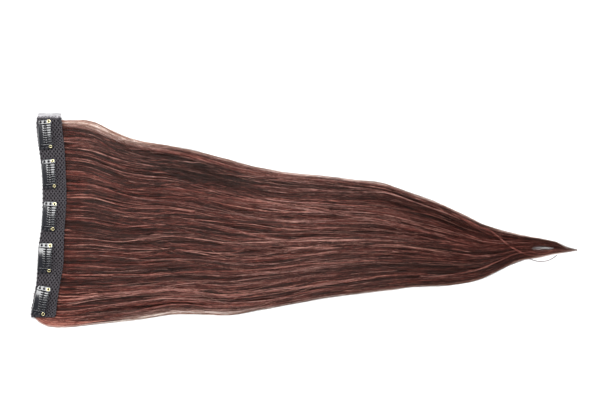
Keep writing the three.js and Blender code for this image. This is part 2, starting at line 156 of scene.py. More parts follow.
# The fall of hair. reach is a share of HAIR_REACH, lower and upper are its sides as shares of the
# band's length, depth is a share of HAIR_DEPTH, bend is how much of the band's curve is left in it.
FALL = table(("reach", "lower", "upper", "depth", "bend"), [
    (-0.022, -0.4925, 0.4825, 0.333, 1),
    (0, -0.5375, 0.4875, 0.333, 1),
    (0.0245, -0.55, 0.4825, 0.333, 1),
    (0.05, -0.548, 0.479, 0.62, 0.8),
    (0.079, -0.538, 0.462, 0.74, 0.6),
    (0.107, -0.528, 0.427, 0.82, 0.45),
    (0.136, -0.519, 0.396, 0.88, 0.3),
    (0.178, -0.503, 0.369, 0.94, 0.15),
    (0.222, -0.484, 0.353, 0.97, 0),
    (0.279, -0.483, 0.32, 1, 0),
    (0.336, -0.487, 0.28, 1, 0),
    (0.393, -0.463, 0.243, 1, 0),
    (0.45, -0.436, 0.218, 1, 0),
    (0.509, -0.406, 0.203, 1, 0),
    (0.566, -0.385, 0.185, 0.98, 0),
    (0.623, -0.365, 0.168, 0.95, 0),
    (0.653, -0.357, 0.146, 0.93, 0),
    (0.68, -0.348, 0.118, 0.91, 0),
    (0.737, -0.34, 0.065, 0.87, 0),
    (0.796, -0.322, -0.008, 0.8, 0),
    (0.824, -0.3, -0.043, 0.74, 0),
    (0.853, -0.263, -0.068, 0.6, 0),
    (0.881, -0.223, -0.085, 0.4, 0),
    (0.92, -0.203, -0.103, 0.17, 0),
    (0.956, -0.184, -0.121, 0.14, 0),
    (0.969, -0.18, -0.132, 0.13, 0),
    (0.98, -0.175, -0.155, 0.12, 0),
    (1, -0.168, -0.162, 0.11, 0),
])

# Locks that cross the others. start and end are shares of the reach, home and goal are places across
# the fall there (0 the lower side, 1 the upper), wide is the lock's half width in millimetres, and
# straight is the share of its way that it runs before it starts to cross.
WISPS = table(("start", "end", "home", "goal", "wide", "straight"), [
    (0.02, 0.42, 0.97, 0.8, 5, 0),
    (0.03, 0.52, 0.9, 0.97, 3.6, 0),
    (0.05, 0.46, 0.72, 0.9, 4, 0),
    (0.03, 0.5, 0.58, 0.47, 3.5, 0),
    (0.04, 0.44, 0.33, 0.43, 3.5, 0),
    (0.02, 0.5, 0.1, 0.22, 4, 0),
    (0.25, 0.8, 0.5, 0.36, 2, 0),
    (0.3, 0.86, 0.8, 0.6, 2.2, 0),
    (0.45, 0.94, 0.35, 0.6, 1.8, 0),
    (0.74, 0.935, 0.94, 0.14, 1.1, 0.45),
    (0.66, 0.97, 0.97, 0.8, 1.8, 0),
    (0.7, 0.96, 0.1, 0.3, 2.8, 0),
])

# Layers of locks, from the lowest: number of locks, their half widths in millimetres, their heights as
# shares of the fall's, their tone (darker for the lower layers, as painted shade), clumps in a lock and
# steps along a strand
LAYERS = (
    ("hair_strands_1", 24, (6, 9), (0.56, 0.7), 0.06, 5, 18),
    ("hair_strands_2", 30, (3.5, 6.5), (0.7, 0.84), 0.24, 6, 24),
    ("hair_strands_3", 22, (2.5, 6), (0.82, 0.96), 0.42, 6, 34),
    ("hair_strands_4", 22, (2.5, 6), (0.82, 0.96), 0.42, 6, 34),
)


def smooth_between(rows, key, column, at):
    """A cubic through a table's rows. Its slope at a row is that of the line between the neighbours."""
    keys = rows[key]
    values = rows[column]
    order = np.arange(len(keys))
    before = np.maximum(order - 1, 0)
    after = np.minimum(order + 1, len(keys) - 1)
    slopes = (values[after] - values[before]) / (keys[after] - keys[before])
    i = np.clip(np.searchsorted(keys, at) - 1, 0, len(keys) - 2)
    span = keys[i + 1] - keys[i]
    t = np.clip((at - keys[i]) / span, 0, 1)
    return (
        (2 * t**3 - 3 * t**2 + 1) * values[i]
        + (t**3 - 2 * t**2 + t) * span * slopes[i]
        + (3 * t**2 - 2 * t**3) * values[i + 1]
        + (t**3 - t**2) * span * slopes[i + 1]
    )


def ease(low, high, at):
    """0 below low and 1 above high, with a smooth rise between."""
    t = np.clip((at - low) / (high - low), 0, 1)
    return t * t * (3 - 2 * t)


def band_middle(y):
    """x of the band's middle line at y."""
    return BAND_WIDTH * smooth_between(BAND, "along", "shift", 0.5 - y / BAND_LENGTH)


def band_half(y):
    """Half of the band's width at y."""
    return BAND_WIDTH / 2 * smooth_between(BAND, "along", "width", 0.5 - y / BAND_LENGTH)


def fall_sides(reach):
    """y of the lower and of the upper side of the hair."""
    lower = BAND_LENGTH * smooth_between(FALL, "reach", "lower", reach)
    upper = BAND_LENGTH * smooth_between(FALL, "reach", "upper", reach)
    return lower, upper


def fall_x(reach, y):
    """x in the fall: straight from the band, less and less of whose curve is left."""
    bend = smooth_between(FALL, "reach", "bend", reach)
    return reach * HAIR_REACH + bend * (band_middle(y) - band_middle(0.0))


def fall_top(reach, across):
    """Height of the hair: its depth, rounded off to a thin edge at both sides."""
    depth = HAIR_DEPTH * smooth_between(FALL, "reach", "depth", reach)
    crown = np.sqrt(np.clip(1 - np.abs(2 * across - 1) ** 4, 0, 1))
    return HAIR_EDGE + (depth - HAIR_EDGE) * crown


def make_piece(name, points, faces, material, body="weft", **tones):
    """A mesh from whole arrays: points is (n, 3), faces is a list of (m, corners) arrays, and tones
    are attributes with a value for each point."""
    mesh = bpy.data.meshes.new(name)
    corners = np.concatenate([f.ravel() for f in faces])
    sizes = np.concatenate([np.full(len(f), f.shape[1]) for f in faces])
    mesh.vertices.add(len(points))
    mesh.vertices.foreach_set("co", np.ascontiguousarray(points, np.float32).ravel())
    mesh.loops.add(len(corners))
    mesh.loops.foreach_set("vertex_index", corners.astype(np.int32))
    mesh.polygons.add(len(sizes))
    mesh.polygons.foreach_set("loop_start", (np.cumsum(sizes) - sizes).astype(np.int32))
    mesh.polygons.foreach_set("use_smooth", np.ones(len(sizes), bool))
    for key, values in tones.items():
        mesh.attributes.new(key, "FLOAT", "POINT").data.foreach_set("value", values.ravel())
    mesh.update(calc_edges=True)
    mesh.materials.append(material)
    piece = bpy.data.objects.new(name, mesh)
    bpy.context.scene.collection.objects.link(piece)
    if body:
        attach(piece, body)
    return piece


def grid_faces(rows, columns, closed=False):
    """Quads of a grid of points in rows, turned so that row by column points out of the sheet."""
    down = np.arange(rows - 1)[:, None] * columns
    along = np.arange(columns if closed else columns - 1)[None, :]
    after = (along + 1) % columns
    quads = np.stack([down + along, down + columns + along, down + columns + after, down + after], -1)
    return quads.reshape(-1, 4)


def tubes(paths, radii, sides, up=(0, 0, 1)):
    """Closed tubes. A ring of points goes round each point of a path, square to the way it runs:
    path + radius * (cos(turn) * side + sin(turn) * over). The two ends are capped."""
    count, steps, _ = paths.shape
    forward = np.gradient(paths, axis=1)
    forward /= np.linalg.norm(forward, axis=2, keepdims=True) + 1e-12
    side = np.cross(np.array(up, float), forward)
    side /= np.linalg.norm(side, axis=2, keepdims=True) + 1e-12
    over = np.cross(forward, side)
    turn = 2 * np.pi * np.arange(sides) / sides
    ring = np.cos(turn)[:, None] * side[:, :, None] + np.sin(turn)[:, None] * over[:, :, None]
    points = paths[:, :, None] + radii[:, :, None, None] * ring
    one = grid_faces(steps, sides, closed=True)[:, ::-1]
    offsets = np.arange(count)[:, None, None] * steps * sides
    quads = (one[None] + offsets).reshape(-1, 4)
    first = np.arange(count)[:, None] * steps * sides
    starts = first + np.arange(sides)[::-1]
    ends = first + (steps - 1) * sides + np.arange(sides)
    return points.reshape(-1, 3), [quads, starts, ends]


def colour(code):
    """Linear colour of an sRGB hex value."""
    parts = [int(code[i:i + 2], 16) / 255 for i in (1, 3, 5)]
    linear = [p / 12.92 if p <= 0.04045 else ((p + 0.055) / 1.055) ** 2.4 for p in parts]
    return (*linear, 1)


def node(tree, kind, inputs=(), **settings):
    """Adds a node with its settings, and sets or links its inputs."""
    made = tree.nodes.new(kind)
    for key, value in settings.items():
        setattr(made, key, value)
    for socket, value in dict(inputs).items():
        if isinstance(value, bpy.types.NodeSocket):
            tree.links.new(value, made.inputs[socket])
        else:
            made.inputs[socket].default_value = value
    return made


def ramp(tree, factor, *stops):
    """A colour ramp: stops are (place, hex colour)."""
    made = node(tree, "ShaderNodeValToRGB", {"Fac": factor})
    elements = made.color_ramp.elements
    while len(elements) < len(stops):
        elements.new(0.5)
    for element, (place, code) in zip(elements, stops):
        element.position = place
        element.color = colour(code)
    return made.outputs["Color"]


def new_material(name):
    """An empty material with an output, and its tree."""
    material = bpy.data.materials.new(name)
    material.use_nodes = True
    material.node_tree.nodes.clear()
    return material, material.node_tree


def finish_material(tree, surface):
    """Links a shader to the output."""
    node(tree, "ShaderNodeOutputMaterial", {"Surface": surface.outputs[0]})


def hair_fibre():
    """Human hair, dyed dark auburn and coated for gloss: dark brown clumps with redder ones between
    them, painted cream light where light comes through thin hair at the edges, painted cream
    highlights along both sides near the band, and a warm sheen along each strand. A noise that runs
    along each clump and strand lets its tone come and go every 7 to 20 mm, partly as painted glints."""
    material, tree = new_material("dyed_human_hair")
    place = node(tree, "ShaderNodeTexCoord")
    apart = node(tree, "ShaderNodeSeparateXYZ", {"Vector": place.outputs["Object"]})
    tone, red, painted_edge_light = (
        node(tree, "ShaderNodeAttribute", attribute_name=key).outputs["Fac"]
        for key in ("tone", "red", "painted_edge_light")
    )
    # Tone noise along clumps and strands: random tone, and partly painted glints
    for group, often, strength in (("clump", 50, 0.65), ("strand", 150, 1)):
        number = node(tree, "ShaderNodeAttribute", attribute_name=group)
        way = node(tree, "ShaderNodeMath", {0: apart.outputs["X"], 1: often}, operation="MULTIPLY")
        spot = node(tree, "ShaderNodeCombineXYZ", {"X": way.outputs[0], "Y": number.outputs["Fac"]})
        change = node(
            tree, "ShaderNodeTexNoise", {"Vector": spot.outputs[0], "Scale": 1, "Detail": 2},
            noise_dimensions="2D",
        )
        centred = node(
            tree, "ShaderNodeMath", {0: change.outputs["Fac"], 1: 0.5}, operation="SUBTRACT",
        )
        tone = node(
            tree, "ShaderNodeMath", {0: centred.outputs[0], 1: strength, 2: tone},
            operation="MULTIPLY_ADD",
        ).outputs[0]
    brown = ramp(
        tree, tone,
        (0, "#0f0503"), (0.25, "#24100c"), (0.5, "#432620"), (0.75, "#6f4b45"), (1, "#9c776e"),
    )
    auburn = ramp(
        tree, tone,
        (0, "#120402"), (0.25, "#2e0f0b"), (0.5, "#54241e"), (0.75, "#7e473d"), (1, "#ab7667"),
    )
    # Colour of the painted light through thin hair and of the painted highlights at the edges
    cream = ramp(tree, tone, (0.2, "#855e4f"), (0.5, "#b99d90"), (0.8, "#efe5dc"))
    dyed = node(tree, "ShaderNodeMix", {0: red, 6: brown, 7: auburn}, data_type="RGBA")
    base = node(tree, "ShaderNodeMix", {0: painted_edge_light, 6: dyed.outputs[2], 7: cream}, data_type="RGBA")
    surface = node(tree, "ShaderNodeBsdfPrincipled", {
        "Base Color": base.outputs[2],
        "Roughness": 0.28,
        "IOR": 1.55,
        "Specular IOR Level": 0.27,
        "Specular Tint": colour("#ffece4"),
    })
    finish_material(tree, surface)
    return material


def patterned(name, kind, pattern, stops, finish, relief=None, stretch=(1, 1, 1), **settings):
    """A material with one pattern, laid out in the piece's own metres times stretch. It gives the
    colour, through a ramp, and where relief is (strength, depth) it makes the surface uneven."""
    material, tree = new_material(name)
    place = node(tree, "ShaderNodeTexCoord").outputs["Object"]
    if stretch != (1, 1, 1):
        place = node(tree, "ShaderNodeMapping", {"Vector": place, "Scale": stretch}).outputs["Vector"]
    drawn = node(tree, kind, {"Vector": place, **pattern}, **settings)
    inputs = {"Base Color": ramp(tree, drawn.outputs["Fac"], *stops), **finish}
    if relief:
        bump = node(tree, "ShaderNodeBump", {
            "Height": drawn.outputs["Fac"],
            "Strength": relief[0],
            "Distance": relief[1],
        })
        inputs["Normal"] = bump.outputs["Normal"]
    finish_material(tree, node(tree, "ShaderNodeBsdfPrincipled", inputs))
    return material


HAIR_FIBRE = hair_fibre()

# The shaded inside of the fall: the same hair, darker, with streaks 0.6 mm wide along it
HAIR_UNDERNEATH = patterned(
    "dyed_human_hair_in_shade", "ShaderNodeTexNoise", {"Scale": 1, "Detail": 3},
    ((0.3, "#150805"), (0.55, "#2e140e"), (0.75, "#4c261c")),
    {"Roughness": 0.6, "Specular IOR Level": 0.15},
    relief=(0.6, 0.4 * MM), stretch=(14, 1600, 60),
)

# Dull black nylon yarn of the net, greyed by its own fuzz, with a faint mottle along it
KNITTED_NYLON = patterned(
    "knitted_nylon", "ShaderNodeTexNoise", {"Scale": 900, "Detail": 2},
    ((0.3, "#2b292c"), (0.7, "#4c484c")),
    {"Roughness": 0.7, "Specular IOR Level": 0.15},
    relief=(0.5, 0.1 * MM),
)

# Fine clear nylon tulle: pale grey, since the white table shows through its threads
CLEAR_TULLE = patterned(
    "clear_nylon_tulle", "ShaderNodeTexNoise", {"Scale": 400, "Detail": 2},
    ((0.3, "#8b888c"), (0.7, "#b9b6ba")),
    {"Roughness": 0.6, "Specular IOR Level": 0.3},
)

# Thin black elastic cloth behind the net, in shade under it, with a weave of 0.6 mm threads
BACKING_CLOTH = patterned(
    "black_elastic_cloth", "ShaderNodeTexWave", {"Scale": 260, "Distortion": 1.5, "Detail": 1},
    ((0.2, "#0b090b"), (0.8, "#171417")),
    {"Roughness": 0.85, "Specular IOR Level": 0.05},
    relief=(0.5, 0.15 * MM), bands_direction="Y",
)

# Baked black enamel on spring steel: smooth and glossy, with a slight orange peel
CLIP_ENAMEL = patterned(
    "black_enamel", "ShaderNodeTexNoise", {"Scale": 700, "Detail": 2},
    ((0.3, "#0e0f12"), (0.7, "#17181d")),
    {"Roughness": 0.17, "Specular IOR Level": 0.4, "Coat Weight": 0.6, "Coat Roughness": 0.08},
    relief=(0.12, 0.1 * MM),
)

# Black silicone tube: satin, a little dusty
CLIP_SILICONE = patterned(
    "black_silicone", "ShaderNodeTexNoise", {"Scale": 500, "Detail": 3},
    ((0.3, "#17181b"), (0.75, "#2b2c30")),
    {"Roughness": 0.42},
)

# Bright rolled brass, a little tarnished in spots
RIVET_BRASS = patterned(
    "pale_brass", "ShaderNodeTexNoise", {"Scale": 1500, "Detail": 2},
    ((0.35, "#c9b87c"), (0.6, "#f1e8bf")),
    {"Metallic": 1, "Roughness": 0.3},
)

# Black polyester sewing thread, faintly shiny
POLYESTER_THREAD = patterned(
    "black_sewing_thread", "ShaderNodeTexWave", {"Scale": 900},
    ((0.2, "#1a181b"), (0.8, "#343136")),
    {"Roughness": 0.5},
    bands_direction="DIAGONAL",
)


# The camera looks straight down, as the photograph does.
def photo_place(px, py):
    """The place on the table that a pixel of the photograph shows."""
    return (px - MIDDLE_OF_BAND[0]) * PIXEL, (MIDDLE_OF_BAND[1] - py) * PIXEL


camera_data = bpy.data.cameras.new("camera")
camera_data.lens = 85
camera_data.sensor_width = 36
camera = bpy.data.objects.new("camera", camera_data)
camera.location = (
    *photo_place(PHOTO_WIDE / 2, PHOTO_HIGH / 2),
    PHOTO_WIDE * PIXEL * camera_data.lens / camera_data.sensor_width,
)
bpy.context.scene.collection.objects.link(camera)
bpy.context.scene.camera = camera


# The inside of the fall, under the strands
def core_half(side):
    """A closed body on one side (-1 the lower, 1 the upper) of the line at TIP_GAP. Its top is at a
    share of the fall's height, with ridges along the locks, and its bottom is flat on the table."""
    columns = 46
    inner = 1 - np.cos(np.pi / 2 * np.linspace(0, 1, columns))
    across = (TIP_GAP * inner if side < 0 else 1 - (1 - TIP_GAP) * inner[::-1])[None, :]
    main = np.linspace(0, 1, 56) ** 1.2
    reach = FALL["reach"][0] + (CORE_TAPER - FALL["reach"][0]) * main
    reach = np.concatenate([reach, np.linspace(CORE_TAPER, CORE_END, 25)[1:]])[:, None]
    rows = len(reach)
    lower, upper = fall_sides(reach)
    thin_edge = 4 * MM + 2.5 * MM * ease(0.01, 0.06, reach) * (1 - ease(0.15, 0.35, reach))
    thin_edge = thin_edge - 2.8 * MM * ease(0.5, 0.72, reach)
    share = 0.3 + 0.19 * ease(0.945, CORE_END, reach)
    inset = np.minimum(thin_edge, (upper - lower) * share)
    parted = part_the_tip(reach, across, CORE_APART, side)
    y = lower + inset + (upper - lower - 2 * inset) * parted
    x = fall_x(reach, y)
    ridges = np.sin(2 * np.pi * (13 * across + 0.6 * np.sin(5 * reach + 9 * across)))
    ridges = ridges * ease(0.02, 0.12, reach) * (1 - ease(0.8, 0.95, reach))
    z = CORE_HEIGHT * fall_top(reach, across) + 0.5 * MM * ridges
    top = np.stack([x, y, z], -1)
    bottom = np.stack([x, y, np.zeros_like(x)], -1)[:, ::-1]
    ring = np.concatenate([top, bottom], 1)
    sides = 2 * columns
    around = grid_faces(rows, sides, closed=True)
    strip = np.arange(columns - 1)
    start = np.stack([strip, strip + 1, sides - 2 - strip, sides - 1 - strip], -1)
    end = (rows - 1) * sides + start[:, ::-1]
    return ring.reshape(-1, 3), [around, start, end]


def hair_core():
    """Both halves: they touch along the line between them, and stand apart in the hole at the tip."""
    points, faces = core_half(-1)
    more, more_faces = core_half(1)
    faces += [face + len(points) for face in more_faces]
    core = make_piece("hair_core", np.concatenate([points, more]), faces, HAIR_UNDERNEATH)
    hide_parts("hair")


def wander(rng, groups, reach, turns, parts=2):
    """Smooth wander of each group of strands, from -1 to 1: a sum of sines with phases of their own
    and from turns[0] to turns[1] waves over the reach."""
    number = groups.max() + 1
    total = np.zeros_like(reach)
    for _ in range(parts):
        often = rng.uniform(*turns, number)[groups][:, None]
        phase = rng.uniform(0, 2 * np.pi, number)[groups][:, None]
        total += np.sin(2 * np.pi * often * reach + phase)
    return total / parts


def place_in_section(rng, groups, turn):
    """A random place in the unit circle for each group, turned about its middle along the way."""
    number = groups.max() + 1
    radius = np.sqrt(rng.uniform(0, 1, number))[groups][:, None]
    angle = rng.uniform(0, 2 * np.pi, number)[groups][:, None] + turn
    return radius * np.cos(angle), radius * np.sin(angle)


def each(rng, groups, spread):
    """A random number for each group: normal, with the given spread."""
    return rng.normal(0, spread, groups.max() + 1)[groups][:, None]


def ends_of_hair(rng, groups):
    """Where clumps end, so that their number falls off as the fall narrows."""
    reach = np.linspace(0.56, 1, 200)
    lower, upper = fall_sides(reach)
    left = (upper - lower) / (upper[0] - lower[0])
    left = np.minimum.accumulate(0.82 * left + 0.18 * (1 - ease(0.94, 1, reach)))
    ends = np.interp(rng.uniform(0.02, 1, groups.max() + 1), left[::-1], reach[::-1])
    return ends[groups][:, None]


def part_the_tip(reach, across, away, side=None):
    """Pushes what is near the tip apart, away from TIP_GAP, so that a small hole is left there."""
    begin, full, close, end = TIP_HOLE
    gap = ease(begin, full, reach) * (1 - ease(close, end, reach))
    push = away * (side or np.sign(across - TIP_GAP))
    return across + gap * push * (1 - np.clip(np.abs(across - TIP_GAP) / 0.55, 0, 1))


def draw_in(y, lower, upper, stray):
    """Strands that pass a side are drawn back to it: a distance d past it becomes
    stray * tanh(d / stray)."""
    past_upper = stray * np.tanh(np.maximum(y - upper, 0) / stray)
    past_lower = stray * np.tanh(np.maximum(lower - y, 0) / stray)
    return np.clip(y, lower, upper) + past_upper - past_lower


def lay_locks(rng, locks, clumps, strands, steps):
    """Paths, radii and tones of strands, at three scales. A lock runs along the fall at its place
    across it, its clumps lie in the lock's round section and wander a little, and a clump's strands
    lie in the clump's section. So y = lock + wide * P + CLUMP * p, and z = level * top + thick * Q +
    CLUMP / 2 * q, where (P, Q) and (p, q) are places in the unit circle that turn along the way."""
    number = len(locks["home"])
    clump = np.repeat(np.arange(number * clumps), strands)
    lock = clump // clumps
    strand = np.arange(len(lock))
    own = {key: np.asarray(value, float)[lock][:, None] for key, value in locks.items()}

    even = np.linspace(0, 1, steps)[None, :]
    t = (even**1.4 + 1 - (1 - even) ** 1.3) / 2
    start = own["start"] + each(rng, strand, 0.003)
    last = own["end"]
    if "free_ends" in locks:
        last = np.minimum(last, ends_of_hair(rng, clump) + each(rng, strand, 0.012))
    last = np.minimum(last, 1)
    reach = start + (last - start) * t

    drift = 0.7 * wander(rng, lock, reach, (0.9, 2.2)) + 0.3 * wander(rng, lock, reach, (2.4, 4.6))
    calm = ease(0.0, 0.16, reach) * (1 - 0.5 * ease(0.7, 1, reach))
    on_the_way = ease(own["bend"], own["bend"] + own["bend_long"], reach)
    centre = own["home"] + (own["goal"] - own["home"]) * on_the_way + own["drift"] * drift * calm
    lower, upper = fall_sides(reach)
    width = upper - lower
    squeeze = np.clip(width / (0.75 * BAND_LENGTH), 0.08, 1) ** 0.75
    wide = own["wide"] * squeeze * (1 - 0.45 * ease(0.55, 1, reach))
    margin = np.minimum(0.8 * wide, 0.3 * width)
    centre_y = lower + margin + (width - 2 * margin) * np.clip(centre, 0, 1)

    beside, above = place_in_section(rng, clump, own["twist"] * reach)
    near, over = place_in_section(rng, strand, 14 * wander(rng, clump, reach, (0.3, 1)))
    crimp = wander(rng, clump, reach, (9, 15)) * ease(0.12, 0.25, reach) * (1 - ease(0.4, 0.6, reach))
    stray = wander(rng, clump, reach, (2, 7)) * 1.1 * MM + crimp * own["crimp"]
    stray = stray + wander(rng, strand, reach, (3, 11)) * own["loose"]
    pinch = CLUMP * (1 - 0.5 * ease(0.6, 1, reach))
    y = centre_y + wide * beside + pinch * near + stray * calm
    across = part_the_tip(reach, np.clip((y - lower) / width, 0, 1), STRANDS_APART)
    y = np.where(reach > 0.88, lower + across * width, y)
    y = draw_in(y, lower, upper, own["stray"] * rng.exponential(1, len(strand))[:, None])
    loose_hump = own["bulge"] * rng.uniform(0, 1, len(strand))[:, None] ** 2
    hump_long = np.where(reach < 0.085, 0.04, 0.06)
    y = y + loose_hump * np.exp(-(((reach - 0.085) / hump_long) ** 2))
    top = fall_top(reach, np.clip(across, 0, 1))
    thick = own["thick"] * np.clip(squeeze, 0.3, 1) * ease(0.0, 0.12, reach)
    z = own["level"] * top + thick * above + 0.5 * pinch * over
    ripple = wander(rng, clump, reach, (5, 16)) * own["ripple"] * np.clip(squeeze, 0.3, 1)
    z = z + ripple * ease(0.03, 0.1, reach)
    low = own["fibre"] * 1.2
    ceiling = np.where(reach < 0.03, MAT_DEPTH - low, top + 0.8 * MM)
    z = np.clip(z, low, ceiling)
    x = fall_x(reach, y)

    tone = own["tone"] + each(rng, lock, 0.08) + each(rng, clump, 0.2) + each(rng, strand, 0.12)
    # Painted light: the upper strands of a clump are a little lighter
    tone = tone + 0.08 * wander(rng, clump, reach, (1, 5)) + 0.05 * above
    # Painted shade: darker near the band and darker still towards the tip
    tone = tone - 0.14 * (1 - ease(0.3, 0.45, reach)) - 0.2 * ease(0.45, 0.8, reach)
    by_band = 1 - ease(0.3, 0.45, reach)
    tone = tone + 0.2 * by_band * np.exp(-((across / 0.25) ** 2))
    # Painted shade: darker and less red in a hollow between two locks near the upper side, and a little
    # darker in a band across the fall past its middle
    hollow = np.exp(-(((reach - 0.29) / 0.09) ** 2) - ((across - 0.875) / 0.05) ** 2)
    tone = tone - 0.36 * hollow - 0.05 * ease(0.5, 0.55, reach) * (1 - ease(0.6, 0.65, reach))
    red = 0.3 + each(rng, clump, 0.3) + 0.25 * ease(0.6, 0.9, reach) + 0.15 * by_band
    red = red - 0.3 * hollow
    tail = ease(0.9, 0.95, reach) * np.exp(-((across / 0.35) ** 2))
    tone = tone + 0.3 * tail
    red = red + 0.3 * tail

    from_upper = np.maximum(upper - y, 0)
    from_lower = np.maximum(y - lower, 0)
    loop = np.exp(-((from_lower / (7 * MM)) ** 2)) * (1 - ease(0.04, 0.12, reach))
    tone = tone + 0.3 * loop
    red = red + 0.6 * loop + 0.3 * (1 - ease(0.02, 0.08, reach))
    # Painted light: cream where light comes through thin hair at both sides, and painted cream
    # highlights along the upper side near the band and along the lower side a little further on
    painted_edge_light = 0.45 * np.exp(-((np.minimum(from_upper, from_lower) / MM) ** 2))
    painted_edge_light = painted_edge_light + 0.8 * np.exp(-((from_upper / (4.5 * MM)) ** 2)) * (1 - ease(0.1, 0.26, reach))
    lower_highlight_span = ease(0.1, 0.18, reach) * (1 - ease(0.3, 0.42, reach))
    painted_edge_light = painted_edge_light + 0.7 * np.exp(-((from_lower / (3.5 * MM)) ** 2)) * lower_highlight_span
    taper = 1 - 0.75 * ease(0.75, 1, t)
    return {
        "paths": np.stack([x, y, z], -1),
        "radii": own["fibre"] * taper * np.ones_like(reach),
        "tone": np.clip(tone, 0, 1),
        "red": np.clip(red, 0, 1) * np.ones_like(reach),
        "painted_edge_light": np.clip(painted_edge_light * rng.uniform(0.35, 1.45, len(strand))[:, None], 0, 1),
        "clump": each(rng, clump, 40) * np.ones_like(reach),
        "strand": each(rng, strand, 40) * np.ones_like(reach),
    }


HAIR_TONES = ("tone", "red", "painted_edge_light", "clump", "strand")


def strands_piece(name, laid):
    """One piece of many strands, each a closed three-sided tube with its own tone."""
    points, faces = tubes(laid["paths"], laid["radii"], 3)
    tones = {key: np.repeat(laid[key], 3, axis=1) for key in HAIR_TONES}
    piece = make_piece(name, points, faces, HAIR_FIBRE, **tones)


def lock_field(rng, count, wide, level, tone):
    """Locks spread evenly across the fall, with half widths and levels between two values."""
    home = (np.arange(count) + rng.uniform(0.1, 0.9, count)) / count
    return {
        "start": np.where(home < 0.12, -0.018, 0.002) + rng.uniform(-0.003, 0.003, count),
        "end": np.ones(count),
        "home": home,
        "goal": np.clip(home + rng.normal(0, 0.06, count), 0, 1),
        "bend": rng.uniform(0.02, 0.5, count),
        "bend_long": rng.uniform(0.1, 0.45, count),
        "bulge": np.zeros(count),
        "drift": rng.uniform(0.012, 0.038, count),
        "wide": rng.uniform(*wide, count) * MM,
        "thick": np.full(count, 1.1 * MM),
        "level": rng.uniform(*level, count),
        "twist": rng.uniform(-4.5, 4.5, count),
        "loose": np.full(count, 0.25 * MM),
        "crimp": rng.uniform(0, 0.9, count) ** 2 * MM,
        "ripple": np.full(count, 0.5 * MM),
        "stray": np.full(count, 0.4 * MM),
        "fibre": np.full(count, FIBRE),
        "tone": np.full(count, tone),
        "free_ends": np.ones(count),
    }


def make_hair():
    """Layers of locks on each other, locks that cross them, edges, fringe, and fly-away hairs."""
    rng = np.random.default_rng(11)
    for name, count, wide, level, tone, clumps, steps in LAYERS:
        layer = lock_field(rng, count, wide, level, tone)
        strands_piece(name, lay_locks(rng, layer, clumps, 5, steps))

    count = len(WISPS["start"])
    wisps = lock_field(rng, count, (1, 2), (0.94, 0.98), 0.47)
    for key in ("start", "end", "home", "goal"):
        wisps[key] = WISPS[key]
    wisps["wide"] = WISPS["wide"] * MM
    way = WISPS["end"] - WISPS["start"]
    wisps["bend"] = WISPS["start"] + WISPS["straight"] * way
    wisps["bend_long"] = (0.92 - WISPS["straight"]) * way
    wisps["drift"] = np.full(count, 0.02)
    wisps["tone"] = wisps["tone"] + 0.15 * (WISPS["straight"] > 0)
    del wisps["free_ends"]
    strands_piece("hair_wisps", lay_locks(rng, wisps, 6, 4, 34))

    for name, edges, reaches, stray in (
        ("hair_edges", 20, (0, 0.02), (0.2, 0.8)),
        ("hair_fringe", 36, (0.02, 0.6), (1.2, 3)),
    ):
        fringe = lock_field(rng, edges, (1.5, 3.5), (0.5, 0.9), 0.5)
        upper_side = np.arange(edges) % 2 == 0
        fringe["home"] = np.where(upper_side, 1, 0) + rng.uniform(-0.02, 0.02, edges)
        fringe["goal"] = fringe["home"]
        start = rng.uniform(*reaches, edges)
        fringe["start"] = np.where(upper_side, start, start - 0.02)
        fringe["end"] = np.minimum(start + rng.uniform(0.3, 0.6, edges), 0.99)
        fringe["stray"] = rng.uniform(*stray, edges) * MM
        fringe["loose"] = rng.uniform(0.3, 0.8, edges) * MM
        fringe["bulge"] = np.where(upper_side, rng.uniform(2, 7, edges), 0) * MM
        fringe["drift"] = np.full(edges, 0.012)
        fringe["fibre"] = np.full(edges, 0.14 * MM)
        del fringe["free_ends"]
        strands_piece(name, lay_locks(rng, fringe, 5, 4 if name == "hair_edges" else 3, 26))

    single = 200
    flyaways = lock_field(rng, single, (0.6, 1.4), (0.98, 1.03), 0.72)
    flyaways["home"] = rng.uniform(-0.01, 1.01, single)
    flyaways["goal"] = flyaways["home"] + rng.normal(0, 0.12, single)
    flyaways["start"] = rng.uniform(0.01, 0.6, single)
    flyaways["end"] = np.minimum(flyaways["start"] + rng.uniform(0.1, 0.5, single), 1)
    flyaways["drift"] = rng.uniform(0.01, 0.06, single)
    flyaways["loose"] = rng.uniform(0.5, 2.5, single) * MM
    flyaways["stray"] = rng.uniform(0.5, 3, single) * MM
    flyaways["fibre"] = np.full(single, FLYAWAY)
    del flyaways["free_ends"]
    strands_piece("hair_flyaways", lay_locks(rng, flyaways, 1, 1, 36))


def stray_hair():
    """Two hairs that stand away from the tip. Each is a curve (1 - t)^2 A + 2 t (1 - t) B + t^2 C
    from A to C by way of B, and lies on the table."""
    t = np.linspace(0, 1, 30)[None, :, None]
    first, bend, last = (
        np.array([photo_place(*spot) for spot in spots])[:, None] for spots in zip(*STRAYS)
    )
    flat = (1 - t) ** 2 * first + 2 * t * (1 - t) * bend + t**2 * last
    height = 0.4 * MM + 1.6 * MM * (1 - t) ** 2 + 0 * flat[..., :1]
    paths = np.concatenate([flat, height], -1)
    one = np.ones(paths.shape[:2])
    strands_piece("hair_strays", {
        "paths": paths,
        "radii": 1.8 * FIBRE * one,
        "tone": 0.3 * one,
        "red": 0.5 * one,
        "painted_edge_light": 0 * one,
        "clump": one,
        "strand": one,
    })


hair_core()
make_hair()
stray_hair()


